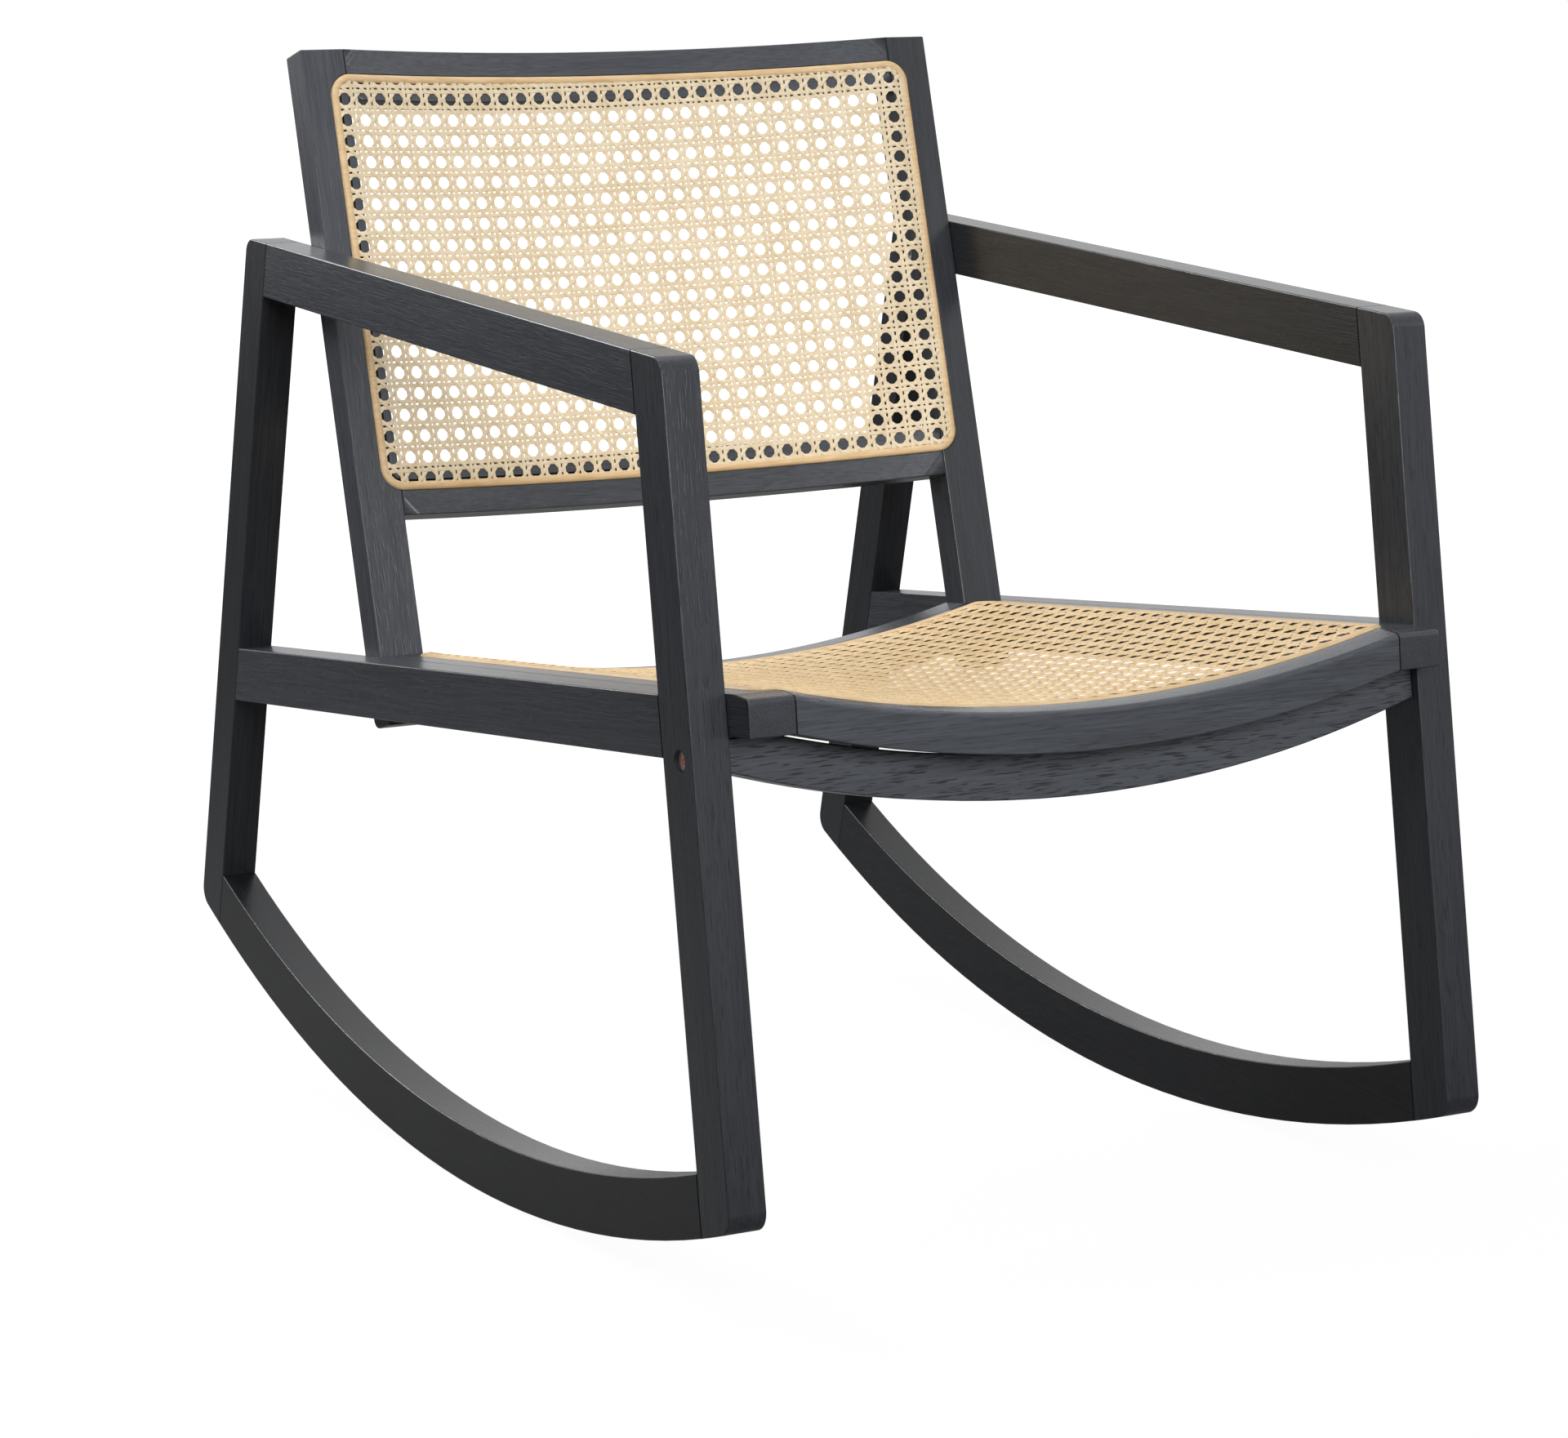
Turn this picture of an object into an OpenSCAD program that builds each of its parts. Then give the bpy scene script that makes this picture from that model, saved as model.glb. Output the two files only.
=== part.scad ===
// Rocking chair: black-stained wooden frame, woven cane back and seat.
// Millimetres, +Z up, the sitter faces -Y. The origin lies on the floor, under the middle of the
// chair's overall box. Every length along the side frames is measured from the rockers' low point.

/* [Overall] */
// Overall width, across the outer faces of the two side frames
chair_w = 579.1; // [540:0.1:640]
// Overall height, floor to the top of the back posts
chair_h = 774.7; // [740:0.1:820]
// From the rockers' low point forward to the front feet
front_reach = 367.2; // [350:0.1:400]
// From the rockers' low point back to the rear feet
rear_reach = 504; // [480:0.1:540]

/* [Side frames] */
// Thickness of the side frame stock, across the chair
frame_t = 27; // [22:0.5:32]
// Width of the front legs, seen from the side
front_leg_w = 40; // [36:0.5:44]
// Width of the rear legs, seen from the side
rear_leg_w = 37.5; // [34:0.5:44]
// Depth of the arms
arm_w = 40; // [34:0.5:46]
// Depth of the side rails
rail_w = 40; // [34:0.5:46]
// Depth of the rockers
rocker_w = 41; // [34:0.5:46]
// Lean of the front legs, top towards the back
front_lean = 8; // [5:0.1:12]
// Lean of the rear legs, top towards the front
rear_lean = 14.7; // [10:0.1:18]
// Height of the arms' top line straight above the rockers' low point
arm_h = 615.7; // [590:0.1:640]
// Rise of the arms towards the back
arm_tilt = 3.4; // [0:0.1:5]
// Height of the side rails' top line straight above the rockers' low point
seat_h = 363; // [345:0.5:385]
// Rise of the seat and the side rails towards the front
seat_tilt = 5.1; // [3:0.1:8]

/* [Rockers] */
// Radius of the rockers' underside
rocker_r = 1146; // [1080:1:1400]
// Rounding of the feet's outer corners
foot_r = 14; // [8:0.5:18]
// Rounding of the legs' top corners
top_r = 12; // [6:0.5:16]

/* [Back frame] */
// Lean of the back posts
back_lean = 14.9; // [10:0.1:18]
// Width of the back posts, across the chair
post_w = 34; // [28:0.5:36]
// Thickness of the back frame stock, front to back
post_t = 27; // [22:0.5:32]
// From the rockers' low point back to the posts' front faces, along the seat
back_at = 210; // [200:0.5:225]
// Length of the posts below the seat's top face
post_drop = 50; // [46:0.5:60]
// Rounding of the posts' lower rear corners
post_r = 7.5; // [3:0.5:10]
// Height of the top and bottom rails
back_rail_h = 38; // [32:0.5:46]
// Hollow of the back rails at their middle
back_sag = 27; // [15:0.5:40]
// From the seat's top face up to the bottom rail's lower edge, along the posts
back_rise = 101; // [90:0.5:120]
// Height of the cross rail that ties the posts at the seat
cross_h = 22; // [18:0.5:23]

/* [Seat frame] */
// From the rockers' low point forward to the seat's front face, along the seat
seat_reach = 352; // [340:0.5:370]
// Width of the seat's side stiles
stile_w = 33; // [30:0.5:38]
// Thickness of the seat frame
seat_t = 27; // [24:0.5:30]
// Depth of the front seat rail, front to back
front_rail_d = 50; // [44:0.5:60]
// Depth of the rear seat rail, front to back
rear_rail_d = 36; // [30:0.5:50]
// Hollow of the front and rear seat rails at their middle
seat_sag = 28; // [18:0.5:36]
// Hollow of the front rail's underside at its middle
under_sag = 30.5; // [26:0.5:38]
// Depth of the sloped band along the seat's front edge
nose_d = 17; // [12:0.5:22]
// Drop of that band at the front face
nose_drop = 2.6; // [1:0.1:4]
// Rounding between the sloped band and the front face
nose_r = 4; // [2:0.5:8]

/* [Front stretcher] */
// Thickness of the stretcher
stretcher_t = 22; // [18:0.5:27]
// Step from the front legs' faces back to the stretcher's face
stretcher_set = 6.5; // [3:0.5:9]
// Height of the stretcher at its ends
stretcher_end_h = 21; // [18:0.5:28]
// Hollow of its lower edge at the middle
stretcher_sag = 40; // [30:0.5:50]
// Gap between the stretcher and the seat's underside
stretcher_gap = 1.2; // [0.5:0.1:3]

/* [Cane] */
// Width of the reed that holds the cane in its groove
reed_w = 7; // [5:0.5:8]
// Height of the reed above the wood
reed_rise = 1.6; // [1:0.1:2.5]
// Depth of the groove below the wood's face
groove_d = 5; // [4:0.5:6]
// Thickness of the woven cane sheet
cane_t = 1.4; // [1:0.1:1.5]
// Outer corner radius of the reed
reed_r = 17; // [12:0.5:24]
// From the posts' outer faces in to the back reed
back_side_edge = 20; // [19:0.5:24]
// From the back frame's top and bottom edges in to the back reed
back_end_edge = 18.5; // [15:0.5:22]
// From the stiles' outer faces in to the seat reed
seat_side_edge = 19.5; // [18:0.5:24]
// From the seat's front face back to the seat reed
seat_front_edge = 27; // [25:0.5:32]
// From the posts' front faces forward to the seat reed
seat_rear_edge = 13.5; // [12:0.5:18]

/* [Fixings] */
// Diameter of the wooden dowels
dowel_d = 8; // [6:0.5:9]
// Length of the dowels
dowel_l = 40; // [30:1:44]
// Diameter of the bolts
bolt_d = 6; // [5:0.5:7]
// Diameter of the bolt heads
head_d = 12.5; // [10:0.5:13]
// Height of the bolt heads
head_h = 4; // [3:0.5:5]
// Diameter of the bolt heads' recesses
recess_d = 15; // [14:0.5:16]
// Depth of the bolt heads' recesses
recess_h = 7; // [5:0.5:8]
// Size of the hexagon sockets, across the flats
socket_w = 4; // [3:0.5:5]
// Diameter of the barrel nuts and threaded sleeves
nut_d = 10; // [9:0.5:11]
// Length of the threaded sleeves
sleeve_l = 15; // [12:1:18]
// Height of the stretcher bolts above the stretcher's lower end corners
bolt_up = 9; // [7:0.5:12]
// Depth of the barrel nuts' centres in the stretcher's ends
nut_in = 30; // [24:1:40]
// From the seat's rear edge forward to its rear bolts
rear_bolt_set = 115; // [100:1:140]

/* [Clearances] */
// Gap between the side frames and what is bolted between them
side_gap = 0.3; // [0.1:0.1:0.5]
// Gap at the ends of the rails between their posts or stiles
end_gap = 0; // [0:0.1:0.3]
// Gap round dowels, bolts, nuts and reeds in their holes and grooves
fit = 0.15; // [0.1:0.05:0.25]
// Wood left between the seat's front bolts and the nearest dowels
bolt_clear = 29.4; // [10:0.2:60]
// Gap between the woven sheet and the wood under it
cane_gap = 0.1; // [0.1:0.05:0.3]

/* [Hidden] */

$fn = 96;
// Facets of the long arcs
long_fn = 720;
far = 900;
blend = 0.02;
wood = [0.10, 0.11, 0.12];
cane = [0.87, 0.78, 0.62];
reed = [0.86, 0.74, 0.54];
steel = [0.55, 0.56, 0.58];
copper = [0.66, 0.42, 0.34];
beech = [0.78, 0.65, 0.48];

// Faces across the chair
frame_out = chair_w / 2;
frame_in = frame_out - frame_t;
inner_x = frame_in - side_gap;
post_in = inner_x - post_w;
stile_in = inner_x - stile_w;
// Place of the rockers' low point
rock_y = (front_reach - rear_reach) / 2;

// Point on a line given by a point and an angle, at height z
function at_z(p, dir, z) = [p[0] + dir[0] * (z - p[1]) / dir[1], z];
// Crossing of two lines, each a point and a direction
function cross2(a, b) = a[0] * b[1] - a[1] * b[0];
function meet(p, u, q, v) = p + u * (cross2(q - p, v) / cross2(u, v));
// A hollow's arc through its two ends
function arc_r(half, sag) = (half * half + sag * sag) / (2 * sag);

// Directions along the members, in the side view (back, up)
front_dir = [sin(front_lean), cos(front_lean)];
rear_dir = [-sin(rear_lean), cos(rear_lean)];
front_out = [-cos(front_lean), sin(front_lean)];
rear_out = [cos(rear_lean), sin(rear_lean)];
arm_dir = [cos(arm_tilt), sin(arm_tilt)];
seat_dir = [cos(seat_tilt), -sin(seat_tilt)];
seat_up = [sin(seat_tilt), cos(seat_tilt)];
back_dir = [sin(back_lean), cos(back_lean)];
back_out = [-cos(back_lean), sin(back_lean)];
// The back leans this much from square to the seat
back_rel = back_lean - seat_tilt;

// Feet: centres of the rounded corners, which touch the rockers' underside
function foot_c(reach) = rocker_r - sqrt(pow(rocker_r - foot_r, 2) - pow(reach - foot_r, 2));
front_c = [-front_reach + foot_r, foot_c(front_reach)];
rear_c = [rear_reach - foot_r, foot_c(rear_reach)];
rock_c = [0, rocker_r];
// Outer and inner edges of the legs
front_p = front_c + foot_r * front_out;
rear_p = rear_c + foot_r * rear_out;
front_q = front_p - front_leg_w * front_out;
rear_q = rear_p - rear_leg_w * rear_out;
// Top edges of the arms and the side rails
arm_p = [0, arm_h];
rail_p = [0, seat_h];
// Underside of the seat frame
under_p = rail_p - seat_t * seat_up;
// Rounded top corners of the legs
arm_up = [-sin(arm_tilt), cos(arm_tilt)];
front_top_c = meet(front_p - top_r * front_out, front_dir, arm_p - top_r * arm_up, arm_dir);
rear_top_c = meet(rear_p - top_r * rear_out, rear_dir, arm_p - top_r * arm_up, arm_dir);

// Where the posts' front faces cross the seat's top face
back_p = rail_p + back_at * seat_dir;
post_l = (chair_h - back_p[1]) / cos(back_lean);
// Hollows
back_r = arc_r(post_in, back_sag);
seat_r = arc_r(stile_in, seat_sag);
under_r = arc_r(stile_in, under_sag);
stretcher_r = arc_r(inner_x, stretcher_sag);
// Outer edges of the reeds
back_reed_x = inner_x - back_side_edge;
back_reed_lo = back_rise + back_end_edge;
back_reed_hi = post_l - back_end_edge;
seat_reed_x = inner_x - seat_side_edge;
seat_reed_front = -seat_reach + seat_front_edge;
seat_reed_rear = back_at - seat_rear_edge;
// Stretcher: its front plane, and the seat's underside where it meets that plane
stretcher_p = front_p - stretcher_set * front_out;
stretcher_top_p = meet(stretcher_p, front_dir, under_p, seat_dir) - stretcher_gap * front_dir;
stretcher_bolt = [stretcher_t / 2, bolt_up - stretcher_end_h];
// Deepest that the stretcher's stock reaches below its top end corners
stretcher_low = stretcher_sag + seat_t + stretcher_end_h;
// Height that holds the legs' feet, and the room that cutters have past what they cut
foot_zone = seat_h - rail_w - seat_t;
waste = 1.5 * front_leg_w;
// Fixings
post_bolt_drop = cross_h + head_d / 2 + 2.5;
// The seat's bolts: the front one clears the dowels of the side rail's front seam
leg_inner_s = (meet(rail_p - rail_w / 2 * seat_up, seat_dir, front_q, front_dir) - rail_p) * seat_dir;
seat_bolt_at = [leg_inner_s + dowel_l / 2 + nut_d / 2 + bolt_clear, back_at - rear_bolt_set];
seat_bolt_drop = seat_t / 2 + 1;
hole_d = bolt_d + 2 * fit;
peg_d = dowel_d + 2 * fit;

// Helpers

// Turns a side view drawing (back, up) into a plate from x0, t thick across the chair
module plate(x0, t) {
    translate([x0, rock_y, 0]) rotate([90, 0, 90]) linear_extrude(t) children();
}
// Both sides of the chair
module left_plate() {
    plate(-frame_out, frame_t) children();
}
module right_plate() {
    plate(frame_in, frame_t) children();
}
// Frames of the seat and the back: x across, y back, z up, on the seat's top face
module in_seat() {
    translate([0, rock_y + rail_p[0], rail_p[1]]) rotate([-seat_tilt, 0, 0]) children();
}
module in_back() {
    translate([0, rock_y + back_p[0], back_p[1]]) rotate([-back_lean, 0, 0]) children();
}
// Frame of the stretcher: x across, y back, z up from its top end corners, on its front face
module in_stretcher() {
    translate([0, rock_y + stretcher_top_p[0], stretcher_top_p[1]]) rotate([-front_lean, 0, 0]) children();
}
// Side view point of a spot in the seat's or the back's frame
function from_seat(s, t) = rail_p + s * seat_dir + t * seat_up;
function from_back(y, z) = back_p + z * back_dir - y * back_out;

// Half plane on the right hand of a line through p along dir
module side_of(p, dir) {
    n = [dir[1], -dir[0]];
    polygon([p - far * dir, p + far * dir, p + far * dir + far * n, p - far * dir + far * n]);
}
// What lies outside a rounding of radius r about c, between two directions a and b. The rounding
// runs a hair past the faces it ends in, so that it crosses them cleanly
module corner_cut(c, r, a, b) {
    difference() {
        polygon([c, c + 4 * r * a, c + 4 * r * (a + b), c + 4 * r * b]);
        translate(c) circle(r + blend);
    }
}
// Strip along dir between the lines through p and q
module strip(p, q, dir) {
    polygon([p - far * dir, p + far * dir, q + far * dir, q - far * dir]);
}
// A hollow of radius r, sag deep at the middle, seen from the front: the disc that fills it,
// raised by h
module hollow_disc(sag, r, h) {
    translate([0, r - sag + h]) circle(r, $fn = long_fn);
}
// Band between heights lo and hi above the hollow, out to x on both sides
module hollow_band(x, sag, r, lo, hi) {
    intersection() {
        translate([-x, lo - sag - 1]) square([2 * x, r]);
        difference() {
            hollow_disc(sag, r, lo);
            hollow_disc(sag, r, hi);
        }
    }
}
// The same band, but level where the hollow has ended
module level_band(x, sag, r, lo, hi) {
    difference() {
        intersection() {
            translate([-x, lo - sag - 1]) square([2 * x, r]);
            union() {
                hollow_disc(sag, r, lo);
                translate([-x, lo]) square([2 * x, r]);
            }
        }
        hollow_disc(sag, r, hi);
        translate([-x - 1, hi]) square([2 * x + 2, r]);
    }
}
// Rounded rectangle from (-x, y0) to (x, y1)
module round_rect(x, y0, y1, r) {
    difference() {
        translate([-x, y0]) square([2 * x, y1 - y0]);
        for (m = [-1, 1]) {
            corner_cut([m * (x - r), y0 + r], r, [m, 0], [0, -1]);
            corner_cut([m * (x - r), y1 - r], r, [m, 0], [0, 1]);
        }
    }
}
// Band of that outline, w wide, grown by g on both sides
module reed_ring(x, y0, y1, w, g) {
    difference() {
        round_rect(x + g, y0 - g, y1 + g, reed_r + g);
        round_rect(x - w - g, y0 + w + g, y1 - w - g, reed_r - w - g);
    }
}
// Runs a flat drawing (x, height) back from y0 to y1
module along(y0, y1) {
    translate([0, y1, 0]) rotate([90, 0, 0]) linear_extrude(y1 - y0) children();
}
// Rod along x, from x0 to x1
module rod(x0, x1, d) {
    translate([x0, 0, 0]) rotate([0, 90, 0]) cylinder(h = x1 - x0, d = d);
}
// Puts a child at a spot in the side view
module at(p) {
    translate([0, rock_y + p[0], p[1]]) children();
}

// Side frames, drawn in side view

// A leg's outline below the arms' top line and inside the rockers' underside
module front_leg_shape() {
    difference() {
        intersection() {
            strip(front_p, front_q, front_dir);
            side_of(arm_p, arm_dir);
            translate([-rocker_r, 0]) square([2 * rocker_r, rocker_r]);
        }
        difference() {
            translate([-front_reach - waste, -waste]) square([front_reach, foot_zone + waste]);
            translate(rock_c) circle(rocker_r, $fn = long_fn);
        }
        corner_cut(front_c, foot_r, front_out, (front_c - rock_c) / (rocker_r - foot_r));
        corner_cut(front_top_c, top_r, front_out, arm_up);
    }
}
module rear_leg_shape() {
    difference() {
        intersection() {
            strip(rear_p, rear_q, rear_dir);
            side_of(arm_p, arm_dir);
            translate([-rocker_r, 0]) square([2 * rocker_r, rocker_r]);
        }
        difference() {
            translate([waste, -waste]) square([rear_reach, foot_zone + waste]);
            translate(rock_c) circle(rocker_r, $fn = long_fn);
        }
        corner_cut(rear_c, foot_r, rear_out, (rear_c - rock_c) / (rocker_r - foot_r));
        corner_cut(rear_top_c, top_r, rear_out, arm_up);
    }
}
// Bar between the legs, w deep below the line through p along dir
module bar_shape(p, dir, w) {
    down = [dir[1], -dir[0]];
    a = p;
    b = p + w * down;
    polygon([
        meet(a, dir, front_q, front_dir), meet(a, dir, rear_q, rear_dir),
        meet(b, dir, rear_q, rear_dir), meet(b, dir, front_q, front_dir)
    ]);
}
module rocker_shape() {
    intersection() {
        difference() {
            translate(rock_c) circle(rocker_r, $fn = long_fn);
            translate(rock_c) circle(rocker_r - rocker_w, $fn = long_fn);
        }
        polygon([
            at_z(front_q, front_dir, -waste), at_z(rear_q, rear_dir, -waste),
            at_z(rear_q, rear_dir, foot_zone), at_z(front_q, front_dir, foot_zone)
        ]);
    }
}

// Dowels of the side frames: a spot on each seam and the direction across it
front_seam = -front_out;
rear_seam = rear_out;
arm_mid = arm_p - arm_w / 2 * arm_up;
rail_mid = rail_p - rail_w / 2 * seat_up;
dowel_step = 11;
function seam_pair(p, along_seam, across) = [for (k = [-1, 1]) [p + k * dowel_step * along_seam, across]];
// Middle of a rocker's end on a leg's inner edge
function rocker_end(q, dir, sgn) = let (
        r = rocker_r - rocker_w / 2,
        w = q - rock_c,
        b = w * dir,
        c = w * w - r * r
    ) q + (-b + sgn * sqrt(b * b - c)) * dir;
frame_pegs = concat(
    seam_pair(meet(arm_mid, arm_dir, front_q, front_dir), front_dir, front_seam),
    seam_pair(meet(arm_mid, arm_dir, rear_q, rear_dir), rear_dir, rear_seam),
    seam_pair(meet(rail_mid, seat_dir, front_q, front_dir), front_dir, front_seam),
    seam_pair(meet(rail_mid, seat_dir, rear_q, rear_dir), rear_dir, rear_seam),
    seam_pair(rocker_end(front_q, front_dir, -1), front_dir, front_seam),
    seam_pair(rocker_end(rear_q, rear_dir, -1), rear_dir, rear_seam)
);
module pegs(side, grow, longer) {
    for (p = frame_pegs) {
        a = atan2(p[1][1], p[1][0]);
        translate([side * (frame_in + frame_t / 2), 0, 0]) at(p[0]) rotate([a - 90, 0, 0])
            cylinder(h = dowel_l + 2 * longer, d = dowel_d + 2 * grow, center = true);
    }
}

// Bolts

// Bolt with a round head and a hexagon socket, head's top at 0, shank towards +z
module bolt(length) {
    difference() {
        union() {
            cylinder(h = head_h, d = head_d);
            cylinder(h = length, d = bolt_d);
        }
        translate([0, 0, -1]) cylinder(h = 1 + head_h * 0.6, d = socket_w / cos(30), $fn = 6);
    }
}
// Recess and hole for it, mouth at 0
module bolt_hole(length) {
    translate([0, 0, -1]) cylinder(h = recess_h + 1, d = recess_d);
    translate([0, 0, -1]) cylinder(h = length + 1, d = hole_d);
}
// Threaded sleeve, from z0 towards +z
module sleeve(z0) {
    translate([0, 0, z0]) difference() {
        cylinder(h = sleeve_l, d = nut_d);
        translate([0, 0, -1]) cylinder(h = sleeve_l + 2, d = hole_d);
    }
}
// Turns +z to point outwards to the given side
module outward(side) {
    rotate([0, side * 90, 0]) children();
}

// Stretcher bolts: in through the front legs, heads in the legs' outer faces
module stretcher_bolt_spots(side) {
    in_stretcher() translate([side * frame_out, stretcher_bolt[0], stretcher_bolt[1]])
        outward(-side) children();
}
// Post bolts: out through the posts into the arms and the side rails
post_bolt_z = [
    -post_bolt_drop,
    (meet(back_p, back_dir, arm_mid, arm_dir) - back_p) * back_dir
];
module post_bolt_spots(side) {
    for (z = post_bolt_z) {
        in_back() translate([side * post_in, post_t / 2, z]) outward(side) children();
    }
}
// Seat bolts: out through the stiles into the side rails
module seat_bolt_spots(side) {
    for (s = seat_bolt_at) {
        in_seat() translate([side * stile_in, s, -seat_bolt_drop]) outward(side) children();
    }
}
post_bolt_l = post_w + side_gap + sleeve_l - recess_h + head_h;
seat_bolt_l = stile_w + side_gap + sleeve_l - recess_h + head_h;
stretcher_bolt_l = frame_t - recess_h + head_h + side_gap + nut_in + nut_d / 2 - 1;
module sleeve_hole(z0) {
    translate([0, 0, z0 - side_gap / 2]) cylinder(h = sleeve_l + side_gap / 2 + 1, d = nut_d + 2 * fit);
}
module side_frame_holes(side) {
    pegs(side, fit, 1);
    post_bolt_spots(side) sleeve_hole(post_w + side_gap);
    seat_bolt_spots(side) sleeve_hole(stile_w + side_gap);
}

// Side frame nodes

module front_leg(side) {
    color(wood) difference() {
        if (side < 0) left_plate() front_leg_shape();
        else right_plate() front_leg_shape();
        pegs(side, fit, 1);
        stretcher_bolt_spots(side) bolt_hole(frame_t + 1);
    }
}
module rear_leg(side) {
    color(wood) difference() {
        if (side < 0) left_plate() rear_leg_shape();
        else right_plate() rear_leg_shape();
        pegs(side, fit, 1);
    }
}
module arm(side) {
    color(wood) difference() {
        if (side < 0) left_plate() bar_shape(arm_p, arm_dir, arm_w);
        else right_plate() bar_shape(arm_p, arm_dir, arm_w);
        side_frame_holes(side);
    }
}
module side_rail(side) {
    color(wood) difference() {
        if (side < 0) left_plate() bar_shape(rail_p, seat_dir, rail_w);
        else right_plate() bar_shape(rail_p, seat_dir, rail_w);
        side_frame_holes(side);
    }
}
module rocker(side) {
    color(wood) difference() {
        if (side < 0) left_plate() rocker_shape();
        else right_plate() rocker_shape();
        pegs(side, fit, 1);
    }
}
module front_leg_left() { front_leg(-1); }
module front_leg_right() { front_leg(1); }
module rear_leg_left() { rear_leg(-1); }
module rear_leg_right() { rear_leg(1); }
module arm_left() { arm(-1); }
module arm_right() { arm(1); }
module side_rail_left() { side_rail(-1); }
module side_rail_right() { side_rail(1); }
module rocker_left() { rocker(-1); }
module rocker_right() { rocker(1); }
module frame_dowels_left() { color(beech) pegs(-1, 0, 0); }
module frame_dowels_right() { color(beech) pegs(1, 0, 0); }

// Front stretcher: its top follows the seat's underside, its lower edge is a longer hollow

module front_stretcher() {
    color(wood) difference() {
        in_stretcher() along(0, stretcher_t) difference() {
            level_band(inner_x, under_sag, under_r, -stretcher_low, 0);
            difference() {
                translate([-inner_x - 1, -stretcher_low - waste])
                    square([2 * inner_x + 2, stretcher_low + waste]);
                hollow_disc(stretcher_sag, stretcher_r, -stretcher_end_h);
            }
        }
        for (side = [-1, 1]) {
            stretcher_bolt_spots(side)
                cylinder(h = frame_t + side_gap + nut_in + nut_d, d = hole_d);
            in_stretcher() barrel_nut(side, fit, 3);
        }
    }
}
// Barrel nut, pushed in from the stretcher's hidden rear face
module barrel_nut(side, grow, longer) {
    x = side * (inner_x - nut_in);
    back = stretcher_t + longer;
    front = stretcher_t / 2 - nut_d * 0.75 - grow;
    translate([x, back, stretcher_bolt[1]]) rotate([90, 0, 0])
        cylinder(h = back - front, d = nut_d + 2 * grow);
}
module barrel_nuts() {
    color(steel) for (side = [-1, 1]) {
        difference() {
            in_stretcher() barrel_nut(side, 0, -stretcher_t / 2 + nut_d * 0.75);
            stretcher_bolt_spots(side) cylinder(h = frame_t + side_gap + nut_in + nut_d, d = hole_d);
        }
    }
}
module stretcher_bolts() {
    color(copper) for (side = [-1, 1]) {
        stretcher_bolt_spots(side) translate([0, 0, recess_h - head_h]) bolt(stretcher_bolt_l);
    }
}

// Back frame

// The reed's groove: level in the posts, following the hollow in the rails
module back_ring(y0, y1, grow) {
    along(y0, y1) reed_ring(back_reed_x, back_reed_lo, back_reed_hi, reed_w, grow);
}
module post_groove() {
    back_ring(-5, groove_d, fit);
}
module back_rail_groove() {
    intersection() {
        linear_extrude(post_l) mirror([0, 1]) hollow_band(inner_x, back_sag, back_r, -groove_d, 5);
        back_ring(-waste, post_t + back_sag, fit);
    }
}
// Dowels of the back frame: height along the posts
back_peg_z = [
    post_l - back_rail_h * 0.28, post_l - back_rail_h * 0.72,
    back_rise + back_rail_h * 0.28, back_rise + back_rail_h * 0.72
];
module back_pegs(side, grow, longer) {
    for (z = back_peg_z) {
        in_back() translate([0, post_t * 0.6, z])
            rod(side > 0 ? post_in - dowel_l * 0.45 - longer : -post_in - dowel_l * 0.55 - longer,
                side > 0 ? post_in + dowel_l * 0.55 + longer : -post_in + dowel_l * 0.45 + longer,
                dowel_d + 2 * grow);
    }
    in_back() translate([0, post_t / 2, -cross_h / 2])
        rod(side > 0 ? post_in - dowel_l * 0.45 - longer : -post_in - dowel_l * 0.55 - longer,
            side > 0 ? post_in + dowel_l * 0.55 + longer : -post_in + dowel_l * 0.45 + longer,
            dowel_d + 2 * grow);
}
module back_post(side) {
    color(wood) difference() {
        in_back() translate([side > 0 ? post_in : -inner_x, 0, 0]) rotate([90, 0, 90])
            linear_extrude(post_w)
            difference() {
                translate([0, -post_drop]) square([post_t, post_l + post_drop]);
                corner_cut([post_t - post_r, -post_drop + post_r], post_r, [1, 0], [0, -1]);
            }
        in_back() post_groove();
        back_pegs(side, fit, 1);
        post_bolt_spots(side) bolt_hole(post_w + 1);
    }
}
module back_rail(z0) {
    in_back() translate([0, 0, z0]) linear_extrude(back_rail_h) mirror([0, 1])
        hollow_band(post_in - end_gap, back_sag, back_r, -post_t, 0);
}
module back_post_left() { back_post(-1); }
module back_post_right() { back_post(1); }
module back_top_rail() {
    color(wood) difference() {
        back_rail(post_l - back_rail_h);
        in_back() back_rail_groove();
        back_pegs(-1, fit, 1);
        back_pegs(1, fit, 1);
    }
}
module back_bottom_rail() {
    color(wood) difference() {
        back_rail(back_rise);
        in_back() back_rail_groove();
        back_pegs(-1, fit, 1);
        back_pegs(1, fit, 1);
    }
}
// Slab between the posts' front and rear faces, in the seat's frame
module back_slab(y0, y1) {
    translate([0, back_at, 0]) rotate([-back_rel, 0, 0])
        translate([-chair_w, y0, -chair_h]) cube([2 * chair_w, y1 - y0, 2 * chair_h]);
}
module back_cross_rail() {
    color(wood) difference() {
        in_seat() intersection() {
            along(back_at - seat_t, back_at + 2 * post_t)
                hollow_band(post_in - end_gap, seat_sag, seat_r, -cross_h, 0);
            back_slab(0, post_t);
        }
        back_pegs(-1, fit, 1);
        back_pegs(1, fit, 1);
    }
}
module back_dowels() {
    color(beech) {
        back_pegs(-1, 0, 0);
        back_pegs(1, 0, 0);
    }
}
module back_reed() {
    color(reed) in_back() intersection() {
        linear_extrude(post_l) mirror([0, 1])
            level_band(inner_x, back_sag, back_r, -groove_d + fit, reed_rise);
        back_ring(-waste, post_t + back_sag, 0);
    }
}
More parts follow.
